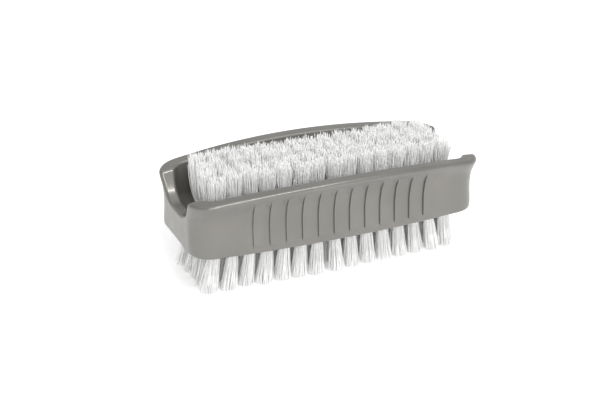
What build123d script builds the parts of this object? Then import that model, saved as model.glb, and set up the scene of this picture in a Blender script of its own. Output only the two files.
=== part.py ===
"""Double-sided nail brush: a moulded trough handle with a tuft field above and below its deck.

Millimetres. +X runs along the brush, -Y is the front, +Z is up.
The plane z = 0 is the plane of the lower bristle tips.
"""
import os

from build123d import *

# Handle, plan outlines: (share of wall height, half length, half width at ends, bow, corner radius)
OUTER_SECTIONS = [
    (0.000, 47.15, 16.20, 2.80, 6.6),
    (0.125, 47.25, 16.45, 2.90, 6.8),
    (0.250, 47.20, 16.35, 2.80, 6.9),
    (0.375, 47.15, 16.20, 2.72, 7.0),
    (0.500, 47.15, 16.15, 2.70, 7.1),
    (0.625, 47.20, 16.40, 2.80, 7.3),
    (0.750, 47.35, 16.85, 3.00, 7.5),
    (0.875, 47.65, 17.80, 3.60, 7.8),
    (1.000, 47.85, 18.45, 4.25, 8.1),
    (1.125, 47.90, 18.55, 4.40, 8.1),
]
INNER_SECTIONS = [
    (0.400, 43.30, 13.80, 2.80, 4.4),
    (0.600, 43.30, 13.85, 2.85, 4.4),
    (0.800, 43.30, 14.00, 2.95, 4.5),
    (1.000, 43.40, 14.40, 3.70, 4.6),
    (1.125, 43.50, 14.60, 3.80, 4.7),
]
CAP_OUTLINE = (47.90, 18.55, 4.40, 8.1)
CAP_INNER_OUTLINE = (43.60, 14.80, 3.90, 4.8)
HANDLE_BOTTOM = 14.0
DECK_TOP = 22.0
RIM_END_HEIGHT = 31.4
RIM_ARCH = 3.0
RIM_HALF_LENGTH = 47.5
CAP_HEIGHT = 41.0
RIM_ROUNDING = 1.0
BOTTOM_ROUNDING = 0.8

# Saddle notch in each end wall: half widths and heights, from the middle outwards
NOTCH_POINTS = [(0.0, 23.9), (5.0, 24.1), (7.8, 25.4), (9.9, 27.9), (12.0, 31.2), (13.0, 33.0)]
NOTCH_INNER_X = 41.0
NOTCH_TOP_ROUNDING = 1.6

# Grip ribs on both long walls; the relief, at the outline heights above, dies out under the lip
RIB_COUNT = 12
RIB_PITCH = 5.13
RIB_WIDTH = 3.2
RIB_RELIEFS = [0.50, 0.50, 0.50, 0.50, 0.50, 0.50, 0.42, -0.05, -1.00, -1.00]
RIB_BOTTOM = 16.6
RIB_TOP_SHARE = 0.93
RIB_ROOT_END = 15.4
RIB_ROOT_BOW = 2.7

# Tufts: rows run along the brush, columns run across it
COLUMNS = 15
LOWER_ROWS = 5
UPPER_ROWS = 4
LOWER_TIP_HEIGHT = 0.0
LOWER_ROOT_PITCH_X = 5.52
LOWER_TIP_PITCH_X = 5.90
UPPER_ROOT_PITCH_X = 5.28
UPPER_TIP_PITCH_X = 5.36
FIELD_BOW = 0.13
LOWER_ROOT_PITCH_Y = 4.75
LOWER_TIP_PITCH_Y = 4.95
UPPER_ROOT_PITCH_Y = 5.00
UPPER_TIP_PITCH_Y = 5.15
HOLE_RADIUS = 1.50
HOLE_DEPTH = 3.4
ROOT_RADIUS = 1.47
LOWER_TIP_RADIUS = 2.40
UPPER_TIP_RADIUS = 2.50
UPPER_TIP_HEIGHT = 36.6

# Anchors
ANCHOR_LENGTH = 2.90
ANCHOR_THICKNESS = 0.40
ANCHOR_HEIGHT = 1.30
ANCHOR_ABOVE_HOLE_END = 0.50
ANCHOR_PLAY = 0.04


def rim_height(x):
    """Height of the arched rim above z = 0 at a place along the brush."""
    return RIM_END_HEIGHT + RIM_ARCH * (1 - (x / RIM_HALF_LENGTH) ** 2)


def plan_outline(half_length, half_width, bow, corner):
    """Closed plan outline with bowed long sides, straight ends and rounded corners."""
    long_sides = [
        ThreePointArc((-half_length, side * half_width), (0, side * (half_width + bow)),
                      (half_length, side * half_width))
        for side in (-1, 1)
    ]
    ends = [Line((x, -half_width), (x, half_width)) for x in (-half_length, half_length)]
    face = make_face(long_sides + ends)
    return fillet(face.vertices(), corner).face().outer_wire()


def direction(point):
    """Direction of a point, seen from the centre of the plan."""
    return Vector(1, 0, 0).get_signed_angle(Vector(point.X, point.Y, 0))


def outline_points(outline):
    """Points around an outline, matched from one outline to the next by its sides and corners."""
    points = []
    for edge in outline.edges():
        count = 12 if edge.length > 60 else 6
        for step in range(count):
            points.append(edge.position_at((step + 0.5) / count))
    return sorted(points, key=direction)


def section(shape, share=None, height=None):
    """Closed curve around the handle, either arched with the rim or level at one height."""
    curve = []
    for point in outline_points(plan_outline(*shape)):
        level = height
        if level is None:
            level = HANDLE_BOTTOM + share * (rim_height(point.X) - HANDLE_BOTTOM)
        curve.append((point.X, point.Y, level))
    return Wire([Spline(*curve, periodic=True)])


def grown(shape, extra):
    """The same outline, larger by a distance all round."""
    half_length, half_width, bow, corner = shape
    return (half_length + extra, half_width + extra, bow, corner + extra)


def outer_block(reliefs=None):
    """Solid with the handle's outer side faces, reaching above the rim, grown by a relief at each outline."""
    reliefs = reliefs or [0.0] * len(OUTER_SECTIONS)
    wires = []
    for (share, *shape), relief in zip(OUTER_SECTIONS, reliefs):
        level = HANDLE_BOTTOM if share == 0 else None
        wires.append(section(grown(shape, relief), share, level))
    wires.append(section(grown(CAP_OUTLINE, reliefs[-1]), height=CAP_HEIGHT))
    return Solid.make_loft(wires)


def below_rim(share=1.0):
    """Everything below an arched surface that follows the rim at a share of the wall height."""
    reach = 60.0
    crest = HANDLE_BOTTOM + share * (rim_height(0) - HANDLE_BOTTOM)
    foot = HANDLE_BOTTOM + share * (rim_height(reach) - HANDLE_BOTTOM)
    arch = ThreePointArc((-reach, 0, foot), (0, 0, crest), (reach, 0, foot))
    base = Polyline((reach, 0, foot), (reach, 0, -10), (-reach, 0, -10), (-reach, 0, foot))
    return extrude(make_face([arch, base]), amount=40, dir=(0, 1, 0), both=True)


def notch_cutters():
    """Two prisms that open a saddle notch in the end walls."""
    right = [(y, z) for y, z in NOTCH_POINTS[1:]]
    left = [(-y, z) for y, z in reversed(right)]
    curve = Spline(*[(0, y, z) for y, z in left + [NOTCH_POINTS[0]] + right])
    edge_y, edge_z = NOTCH_POINTS[-1]
    corners = [(-edge_y, edge_z), (-edge_y, CAP_HEIGHT), (edge_y, CAP_HEIGHT), (edge_y, edge_z)]
    lid = Polyline(*[(0, y, z) for y, z in corners])
    profile = make_face([curve, lid])
    cutters = []
    for side in (-1, 1):
        placed = Pos(side * NOTCH_INNER_X, 0, 0) * profile
        cutters.append(extrude(placed, amount=12, dir=(side, 0, 0)))
    return cutters


def cavity():
    """The trough's inside, above the deck."""
    wires = []
    for share, *shape in INNER_SECTIONS:
        level = DECK_TOP if share == INNER_SECTIONS[0][0] else None
        wires.append(section(shape, share, level))
    wires.append(section(CAP_INNER_OUTLINE, height=CAP_HEIGHT))
    return Solid.make_loft(wires)


def wall_edges(solid):
    """Rim and notch edges, where the top surface meets the outer and inner wall faces."""
    walls = solid.faces().filter_by(GeomType.BSPLINE).sort_by(SortBy.AREA)[-2:]
    return [edge for wall in walls for edge in wall.edges() if edge.center().Z > NOTCH_POINTS[0][1] - 0.1]


def notch_corner_edges(solid):
    """Short edges where the rim drops into the notches."""
    found = []
    for edge in solid.edges():
        middle = edge.center()
        over_end_wall = abs(middle.X) > NOTCH_INNER_X and middle.Z > RIM_END_HEIGHT - 1
        if over_end_wall and edge.length < 9:
            found.append(edge)
    return found


def ribs():
    """Raised grip panels on both long walls, rooted inside the wall thickness."""
    grip = outer_block(RIB_RELIEFS) & below_rim(RIB_TOP_SHARE)
    panels = []
    for index in range(RIB_COUNT):
        x = (index - (RIB_COUNT - 1) / 2) * RIB_PITCH
        root = RIB_ROOT_END + RIB_ROOT_BOW * (1 - (x / RIM_HALF_LENGTH) ** 2)
        for side in (-1, 1):
            slab = Pos(x, side * (root + 5), RIB_BOTTOM + 15) * Box(RIB_WIDTH, 10, 30)
            panels.extend((grip & slab).solids())
    return panels


def tuft_places(rows, pitch_x, pitch_y):
    """Plan positions of a tuft field, as a list of columns."""
    columns = []
    for column in range(COLUMNS):
        x = (column - (COLUMNS - 1) / 2) * pitch_x
        bow = 1 + FIELD_BOW * (1 - (x / RIM_HALF_LENGTH) ** 2)
        columns.append([(x, (row - (rows - 1) / 2) * pitch_y * bow) for row in range(rows)])
    return columns


def post(place, bottom, top, radius):
    """Upright cylinder between two heights."""
    x, y = place
    return Pos(x, y, bottom) * Cylinder(
        radius, top - bottom, align=(Align.CENTER, Align.CENTER, Align.MIN)
    )


def hole_end(surface, way):
    """Height of a blind hole's end; way is +1 for holes that open upwards."""
    return surface - way * HOLE_DEPTH


def hole(place, surface, way):
    """Blind hole in the deck, with a little extra above its mouth."""
    ends = sorted([hole_end(surface, way), surface + way])
    return post(place, ends[0], ends[1], HOLE_RADIUS)


def anchor_box(place, surface, way, length, thickness, height):
    """Flat box across a tuft's root, centred on the anchor's place in its hole."""
    x, y = place
    middle = hole_end(surface, way) + way * (ANCHOR_ABOVE_HOLE_END + ANCHOR_HEIGHT / 2)
    return Pos(x, y, middle) * Box(length, thickness, height)


def tuft(root, tip, surface, tip_height, tip_radius, way):
    """One folded tuft: a root in its hole and a bundle that spreads towards its tip."""
    ends = sorted([hole_end(surface, way) + way * ANCHOR_PLAY, surface])
    stem = post(root, ends[0], ends[1], ROOT_RADIUS)
    foot = Pos(root[0], root[1], surface) * Circle(ROOT_RADIUS)
    head = Pos(tip[0], tip[1], tip_height) * Circle(tip_radius)
    bundle = loft([foot, head] if way > 0 else [head, foot])
    window = anchor_box(
        root, surface, way, 3 * HOLE_RADIUS, ANCHOR_THICKNESS + ANCHOR_PLAY, ANCHOR_HEIGHT + ANCHOR_PLAY
    )
    return (stem + bundle) - window


def tuft_field(rows, pitches, surface, tip_height, tip_radius, way):
    """Tufts by column and anchors by row, for one side of the deck."""
    root_x, tip_x, root_y, tip_y = pitches
    roots = tuft_places(rows, root_x, root_y)
    tips = tuft_places(rows, tip_x, tip_y)
    columns = []
    for column_roots, column_tips in zip(roots, tips):
        tufts = [
            tuft(root, tip, surface, tip_height, tip_radius, way)
            for root, tip in zip(column_roots, column_tips)
        ]
        columns.append(tufts)
    anchors = []
    for row in range(rows):
        anchors.append([
            anchor_box(column[row], surface, way, ANCHOR_LENGTH, ANCHOR_THICKNESS, ANCHOR_HEIGHT)
            for column in roots
        ])
    holes = [hole(place, surface, way) for column in roots for place in column]
    return columns, anchors, holes


def handle(holes):
    """Moulded handle with its trough, notches, ribs and tuft holes."""
    solid = outer_block() & below_rim()
    for cutter in notch_cutters():
        solid = solid - cutter
    solid = solid.fillet(NOTCH_TOP_ROUNDING, notch_corner_edges(solid))
    solid = solid - cavity()
    foot = solid.edges().group_by(Axis.Z)[0]
    solid = solid.fillet(BOTTOM_ROUNDING, foot)
    solid = solid.fillet(RIM_ROUNDING, wall_edges(solid))
    solid = solid + ribs()
    return solid - holes


def save(name, solids):
    """Write one node's solids to its file."""
    shape = solids[0] if len(solids) == 1 else Compound(children=list(solids))
    shape.label = name
    export_step(shape, f"parts/{name}.step")


lower_pitches = (LOWER_ROOT_PITCH_X, LOWER_TIP_PITCH_X, LOWER_ROOT_PITCH_Y, LOWER_TIP_PITCH_Y)
upper_pitches = (UPPER_ROOT_PITCH_X, UPPER_TIP_PITCH_X, UPPER_ROOT_PITCH_Y, UPPER_TIP_PITCH_Y)
lower_columns, lower_anchors, lower_holes = tuft_field(
    LOWER_ROWS, lower_pitches, HANDLE_BOTTOM, LOWER_TIP_HEIGHT, LOWER_TIP_RADIUS, -1
)
upper_columns, upper_anchors, upper_holes = tuft_field(
    UPPER_ROWS, upper_pitches, DECK_TOP, UPPER_TIP_HEIGHT, UPPER_TIP_RADIUS, 1
)

os.makedirs("parts", exist_ok=True)
save("handle", handle(lower_holes + upper_holes).solids())
for side, columns, anchors in (
    ("lower", lower_columns, lower_anchors),
    ("upper", upper_columns, upper_anchors),
):
    for number, tufts in enumerate(columns, start=1):
        save(f"{side}_tufts_{number:02d}", tufts)
    for number, row in enumerate(anchors, start=1):
        save(f"{side}_anchors_{number}", row)
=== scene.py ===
"""Looks of the double-sided nail brush: moulded silver-grey handle, white filament tufts, studio floor."""

import math

import bpy
import numpy as np
from mathutils import Matrix, Vector


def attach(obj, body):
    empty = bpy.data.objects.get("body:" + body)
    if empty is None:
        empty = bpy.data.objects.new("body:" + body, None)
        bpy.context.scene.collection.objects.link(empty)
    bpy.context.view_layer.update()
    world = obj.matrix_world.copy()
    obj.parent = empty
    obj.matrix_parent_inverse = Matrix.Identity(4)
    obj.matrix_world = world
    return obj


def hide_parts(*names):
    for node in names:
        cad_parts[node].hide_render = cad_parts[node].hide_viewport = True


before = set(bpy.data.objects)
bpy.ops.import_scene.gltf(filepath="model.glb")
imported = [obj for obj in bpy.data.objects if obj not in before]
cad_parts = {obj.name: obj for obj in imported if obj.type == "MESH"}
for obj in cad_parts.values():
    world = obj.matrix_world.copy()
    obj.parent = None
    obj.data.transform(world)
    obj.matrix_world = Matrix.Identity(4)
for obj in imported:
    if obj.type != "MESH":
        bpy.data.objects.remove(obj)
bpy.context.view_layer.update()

MM = 0.001
SEED = 602
UPPER_SEED_STEP = 100

# Camera, from the photograph's viewing angle
CAMERA_AZIMUTH = math.radians(25.33)
CAMERA_ELEVATION = math.radians(25.24)
CAMERA_ROLL = 0.0163
CAMERA_DISTANCE = 0.4035
CAMERA_TARGET = Vector((0.0, 0.0, 0.015))
CAMERA_LENS = 77.19
SENSOR_WIDTH = 36.0
CAMERA_SHIFT = (-0.03237, 0.01312)

# Tuft fields, in millimetres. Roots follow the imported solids. In plan, the middles of
# the tips differ from them by up to about half a millimetre.
COLUMNS = 15
FIELD_BOW = 0.13
HALF_LENGTH = 47.5
HOLE_DEPTH = 3.4
HOLE_CLEARANCE = 0.15
ROOT_RADIUS = 1.42
DECK_TOP = 22.0
HANDLE_BOTTOM = 14.0

# flare shapes the splay, ragged and uneven shorten strands and whole tufts, lean and scatter shift tips
FIELDS = {
    "lower": dict(rows=5, root_pitch_x=5.52, tip_pitch_x=5.82, root_pitch=4.75, tip_pitch=4.95,
                  surface=HANDLE_BOTTOM, tip_height=0.0, tip_radius=2.55, way=-1, flare=1.1,
                  ragged=0.28, uneven=0.15, lean=0.34, scatter=0.33, strands=185),
    "upper": dict(rows=4, root_pitch_x=5.28, tip_pitch_x=5.36, root_pitch=5.00, tip_pitch=5.15,
                  surface=DECK_TOP, tip_height=37.0, tip_radius=2.70, way=1, flare=0.7,
                  ragged=2.7, uneven=1.0, lean=0.34, scatter=0.30, strands=270),
}

# Filaments: lengths in millimetres
STRAND_RADIUS = 0.105
LEAN_LIMIT = 0.7
MOST_SHORTENED = 6.0
TIP_RISE = 0.5
FLOOR_GAP = 0.02
SWAY = 0.16

# Filaments: corners round each, the turn from one to the next, and shares of a radius or of the height
SIDES = 5
GOLDEN_ANGLE = math.radians(137.508)
RADIUS_SPREAD = (0.85, 1.15)
SPLAY_SPREAD = (0.88, 1.06)
TIP_TAPER = 0.45
LEVELS = (0.0, 0.22, 0.45, 0.7, 0.96)

# A folded tuft parts round its anchor at the end of the hole: a gap in millimetres and a share
FOLD_GAP = 0.34
FOLD_SQUEEZE = 0.72

# Studio: half the floor in metres, and the direction in which the surround is brightest
FLOOR_HALF = 3.0
BRIGHT_SIDE = (0.42, -0.10, -0.90)


def tuft_centres(rows, pitch_x, pitch_y, column):
    """Plan positions of one column's tufts."""
    x = (column - (COLUMNS - 1) / 2) * pitch_x
    bow = 1 + FIELD_BOW * (1 - (x / HALF_LENGTH) ** 2)
    return [(x, (row - (rows - 1) / 2) * pitch_y * bow) for row in range(rows)]


def strand_paths(root, tip, field, rng):
    """Centre lines of one tuft's filaments, as an array of strand, level and coordinate."""
    count = field["strands"]
    way = field["way"]
    surface = field["surface"]
    order = np.arange(count) + 0.5
    angle = order * GOLDEN_ANGLE + rng.uniform(0, 2 * math.pi)
    share = np.sqrt(order / count)
    around = np.stack([np.cos(angle), np.sin(angle)], axis=1)
    spread = field["tip_radius"] * rng.uniform(*SPLAY_SPREAD)
    lean = rng.normal(0, field["lean"], 2).clip(-LEAN_LIMIT, LEAN_LIMIT)
    mouth = np.array(root) + around * (share * ROOT_RADIUS)[:, None]
    end = np.array(tip) + lean + around * (share * spread)[:, None]
    end += rng.normal(0, field["scatter"], (count, 2))
    bottom = mouth.copy()
    across = mouth[:, 1] - root[1]
    bottom[:, 1] = root[1] + np.sign(across) * (FOLD_GAP + FOLD_SQUEEZE * np.abs(across))
    short = np.abs(rng.normal(0, field["ragged"], count)).clip(0, MOST_SHORTENED)
    short = short + rng.uniform(0, field["uneven"])
    tip_z = field["tip_height"] - way * (short - TIP_RISE)
    if way < 0:
        tip_z = np.maximum(tip_z, FLOOR_GAP)
    bend = rng.normal(0, SWAY, (count, 2))
    hole_end = surface - way * (HOLE_DEPTH - HOLE_CLEARANCE)
    levels = [np.column_stack([bottom, np.full(count, hole_end)])]
    for step in LEVELS:
        out = step ** field["flare"]
        sway = bend * math.sin(math.pi * step)
        place = mouth + (end - mouth) * out + sway
        height = surface + (tip_z - surface) * step
        levels.append(np.column_stack([place, height]))
    levels.append(np.column_stack([end, tip_z]))
    return np.stack(levels, axis=1) * MM


def tube_mesh(name, paths, rng):
    """Closed thin tubes along the given centre lines, in one mesh."""
    strands, rings, _ = paths.shape
    corners = np.arange(SIDES) * 2 * math.pi / SIDES
    circle = np.stack([np.cos(corners), np.sin(corners), np.zeros(SIDES)], axis=1)
    radius = STRAND_RADIUS * MM * rng.uniform(*RADIUS_SPREAD, strands)
    taper = np.ones(rings)
    taper[-1] = TIP_TAPER
    size = radius[:, None] * taper[None, :]
    vertices = paths[:, :, None, :] + circle[None, None] * size[:, :, None, None]
    vertices = vertices.reshape(-1, 3)
    per_strand = rings * SIDES
    quads = []
    for ring in range(rings - 1):
        for side in range(SIDES):
            near = ring * SIDES + side
            far = ring * SIDES + (side + 1) % SIDES
            quads.append((near, far, far + SIDES, near + SIDES))
    quads = np.array(quads)
    first = list(range(SIDES))[::-1]
    last = [per_strand - SIDES + side for side in range(SIDES)]
    if paths[0, -1, 2] < paths[0, 0, 2]:
        quads = quads[:, ::-1]
        first, last = first[::-1], last[::-1]
    offsets = np.arange(strands) * per_strand
    quad_loops = (quads[None] + offsets[:, None, None]).reshape(strands, -1)
    cap_loops = np.array(first + last)[None] + offsets[:, None]
    loops = np.concatenate([quad_loops, cap_loops], axis=1).reshape(-1)
    sizes = np.tile(np.array([4] * len(quads) + [SIDES, SIDES]), strands)
    starts = np.concatenate([[0], np.cumsum(sizes)[:-1]])
    mesh = bpy.data.meshes.new(name)
    mesh.vertices.add(len(vertices))
    mesh.vertices.foreach_set("co", vertices.astype(np.float32).ravel())
    mesh.loops.add(len(loops))
    mesh.loops.foreach_set("vertex_index", loops.astype(np.int32))
    mesh.polygons.add(len(sizes))
    mesh.polygons.foreach_set("loop_start", starts.astype(np.int32))
    smooth = np.tile(np.array([True] * len(quads) + [False, False]), strands)
    mesh.polygons.foreach_set("use_smooth", smooth)
    mesh.update(calc_edges=True)
    mesh.validate()
    return mesh


def material(name, **values):
    """New node material and its shader, with sockets set by name, where _ stands for a space."""
    made = bpy.data.materials.new(name)
    made.use_nodes = True
    shader = made.node_tree.nodes["Principled BSDF"]
    for socket, value in values.items():
        shader.inputs[socket.replace("_", " ")].default_value = value
    return made, shader


def grey(level):
    """Opaque neutral colour."""
    return (level, level, level, 1)


def noise(tree, scale, detail=2.0):
    """Value of a noise texture in object space."""
    nodes, links = tree.nodes, tree.links
    place = nodes.new("ShaderNodeTexCoord")
    texture = nodes.new("ShaderNodeTexNoise")
    texture.inputs["Scale"].default_value = scale
    texture.inputs["Detail"].default_value = detail
    links.new(place.outputs["Object"], texture.inputs["Vector"])
    return texture.outputs["Fac"]


def ramp(tree, source, stops, target):
    """Colour ramp from a value to a socket."""
    node = tree.nodes.new("ShaderNodeValToRGB")
    elements = node.color_ramp.elements
    for element, (position, colour) in zip((elements[0], elements[1]), (stops[0], stops[-1])):
        element.position = position
        element.color = colour
    for position, colour in stops[1:-1]:
        elements.new(position).color = colour
    tree.links.new(source, node.inputs["Fac"])
    tree.links.new(node.outputs["Color"], target)


def handle_material():
    """Satin moulded plastic with a silver-grey metallic pigment."""
    made, shader = material("silver_plastic", Metallic=0.56, IOR=1.5, Specular_IOR_Level=0.2,
                            Coat_Weight=0.15, Coat_Roughness=0.09)
    tree = made.node_tree
    darker = (0.190, 0.184, 0.171, 1)
    lighter = (0.222, 0.215, 0.201, 1)
    flow = noise(tree, scale=55.0, detail=4.0)
    ramp(tree, flow, [(0.30, darker), (0.70, lighter)], shader.inputs["Base Color"])
    flake = noise(tree, scale=260.0)
    ramp(tree, flake, [(0.35, grey(0.29)), (0.65, grey(0.35))], shader.inputs["Roughness"])
    bump = tree.nodes.new("ShaderNodeBump")
    bump.inputs["Strength"].default_value = 0.02
    bump.inputs["Distance"].default_value = 0.0003
    tree.links.new(noise(tree, scale=420.0, detail=3.0), bump.inputs["Height"])
    tree.links.new(bump.outputs["Normal"], shader.inputs["Normal"])
    return made


def bristle_material():
    """White nylon filament with faint streaks."""
    made, shader = material("white_nylon", Roughness=0.45, IOR=1.53)
    tree = made.node_tree
    darker = (0.84, 0.84, 0.835, 1)
    lighter = (0.93, 0.93, 0.925, 1)
    streak = noise(tree, scale=900.0)
    ramp(tree, streak, [(0.30, darker), (0.70, lighter)], shader.inputs["Base Color"])
    return made


def anchor_material():
    """Drawn wire."""
    made, shader = material("anchor_wire", Metallic=1.0, Base_Color=(0.60, 0.58, 0.52, 1))
    tree = made.node_tree
    drawn = noise(tree, scale=1500.0)
    ramp(tree, drawn, [(0.3, grey(0.25)), (0.7, grey(0.42))], shader.inputs["Roughness"])
    return made


def dress(node, made):
    """Give a carried-over solid its material."""
    for place in node.material_slots:
        place.material = made


def bristles(side, field, column, nylon):
    """Filaments of one column of tufts, in place of its plain solids."""
    rng = np.random.default_rng(SEED + column + UPPER_SEED_STEP * (side == "upper"))
    roots = tuft_centres(field["rows"], field["root_pitch_x"], field["root_pitch"], column)
    tips = tuft_centres(field["rows"], field["tip_pitch_x"], field["tip_pitch"], column)
    paths = np.concatenate([strand_paths(root, tip, field, rng) for root, tip in zip(roots, tips)])
    node_name = f"{side}_tufts_{column + 1:02d}"
    mesh = tube_mesh(f"{side}_bristles_{column + 1:02d}", paths, rng)
    mesh.materials.append(nylon)
    piece = bpy.data.objects.new(mesh.name, mesh)
    bpy.context.scene.collection.objects.link(piece)
    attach(piece, "root")
    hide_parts(node_name)


def floor():
    """Plain pale floor under the lower tips, with a little emission so that it renders white."""
    mesh = bpy.data.meshes.new("floor")
    half = FLOOR_HALF
    corners = [(-half, -half, 0), (half, -half, 0), (half, half, 0), (-half, half, 0)]
    mesh.from_pydata(corners, [], [(0, 1, 2, 3)])
    made, _ = material("floor_white", Base_Color=grey(0.94), Emission_Color=grey(1.0), Emission_Strength=0.28,
                       Roughness=0.9, Specular_IOR_Level=0.1)
    mesh.materials.append(made)
    made_floor = bpy.data.objects.new("floor", mesh)
    bpy.context.scene.collection.objects.link(made_floor)


def area_light(name, place, aim, size, power):
    """Soft rectangular lamp."""
    data = bpy.data.lights.new(name, "AREA")
    data.shape = "RECTANGLE"
    data.size, data.size_y = size
    data.energy = power
    lamp = bpy.data.objects.new(name, data)
    lamp.location = place
    lamp.rotation_mode = "QUATERNION"
    lamp.rotation_quaternion = (Vector(place) - Vector(aim)).to_track_quat("Z", "Y")
    bpy.context.scene.collection.objects.link(lamp)


def sun(name, from_side, strength, spread):
    """Broad soft lamp at a great distance."""
    data = bpy.data.lights.new(name, "SUN")
    data.energy = strength
    data.angle = math.radians(spread)
    lamp = bpy.data.objects.new(name, data)
    lamp.rotation_mode = "QUATERNION"
    lamp.rotation_quaternion = Vector(from_side).to_track_quat("Z", "Y")
    bpy.context.scene.collection.objects.link(lamp)


def studio():
    """Graded white surround, front and top suns, and a lamp whose reflection runs along the front rim."""
    world = bpy.data.worlds.new("studio")
    bpy.context.scene.world = world
    world.use_nodes = True
    tree = world.node_tree
    nodes, links = tree.nodes, tree.links
    background = nodes["Background"]
    background.inputs["Strength"].default_value = 0.76
    place = nodes.new("ShaderNodeTexCoord")
    toward = nodes.new("ShaderNodeVectorMath")
    toward.operation = "DOT_PRODUCT"
    toward.inputs[1].default_value = BRIGHT_SIDE
    links.new(place.outputs["Generated"], toward.inputs[0])
    spread = nodes.new("ShaderNodeMapRange")
    spread.inputs["From Min"].default_value = -1.0
    links.new(toward.outputs["Value"], spread.inputs["Value"])
    stops = [(0.10, grey(0.72)), (0.35, grey(0.92)), (0.62, grey(1.0))]
    ramp(tree, spread.outputs["Result"], stops, background.inputs["Color"])
    sun("front", from_side=(-0.24, -0.86, 0.48), strength=1.05, spread=32)
    sun("top", from_side=(0.05, 0.15, 1.0), strength=0.45, spread=60)
    area_light("edge", place=(0.05, -0.42, 0.66), aim=(-0.01, 0, 0.03), size=(0.46, 0.040), power=2.4)


def camera():
    """Camera at the photograph's viewing angle."""
    sin_a, cos_a = math.sin(CAMERA_AZIMUTH), math.cos(CAMERA_AZIMUTH)
    sin_e, cos_e = math.sin(CAMERA_ELEVATION), math.cos(CAMERA_ELEVATION)
    back = Vector((-sin_a * cos_e, -cos_a * cos_e, sin_e))
    right = Vector((cos_a, -sin_a, 0))
    up = back.cross(right)
    sin_r, cos_r = math.sin(CAMERA_ROLL), math.cos(CAMERA_ROLL)
    rolled_right = right * cos_r + up * sin_r
    rolled_up = up * cos_r - right * sin_r
    data = bpy.data.cameras.new("camera")
    data.sensor_fit = "HORIZONTAL"
    data.sensor_width = SENSOR_WIDTH
    data.lens = CAMERA_LENS
    data.shift_x, data.shift_y = CAMERA_SHIFT
    data.clip_start = 0.01
    data.clip_end = 20.0
    made = bpy.data.objects.new("camera", data)
    axes = Matrix((rolled_right, rolled_up, back)).transposed().to_4x4()
    made.matrix_world = Matrix.Translation(CAMERA_TARGET + back * CAMERA_DISTANCE) @ axes
    bpy.context.scene.collection.objects.link(made)
    bpy.context.scene.camera = made


silver = handle_material()
nylon = bristle_material()
wire = anchor_material()
for node_name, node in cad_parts.items():
    if node_name == "handle":
        dress(node, silver)
    elif "anchors" in node_name:
        dress(node, wire)

for side, field in FIELDS.items():
    for column in range(COLUMNS):
        bristles(side, field, column, nylon)

floor()
studio()
camera()
bpy.context.scene.view_settings.view_transform = "Standard"
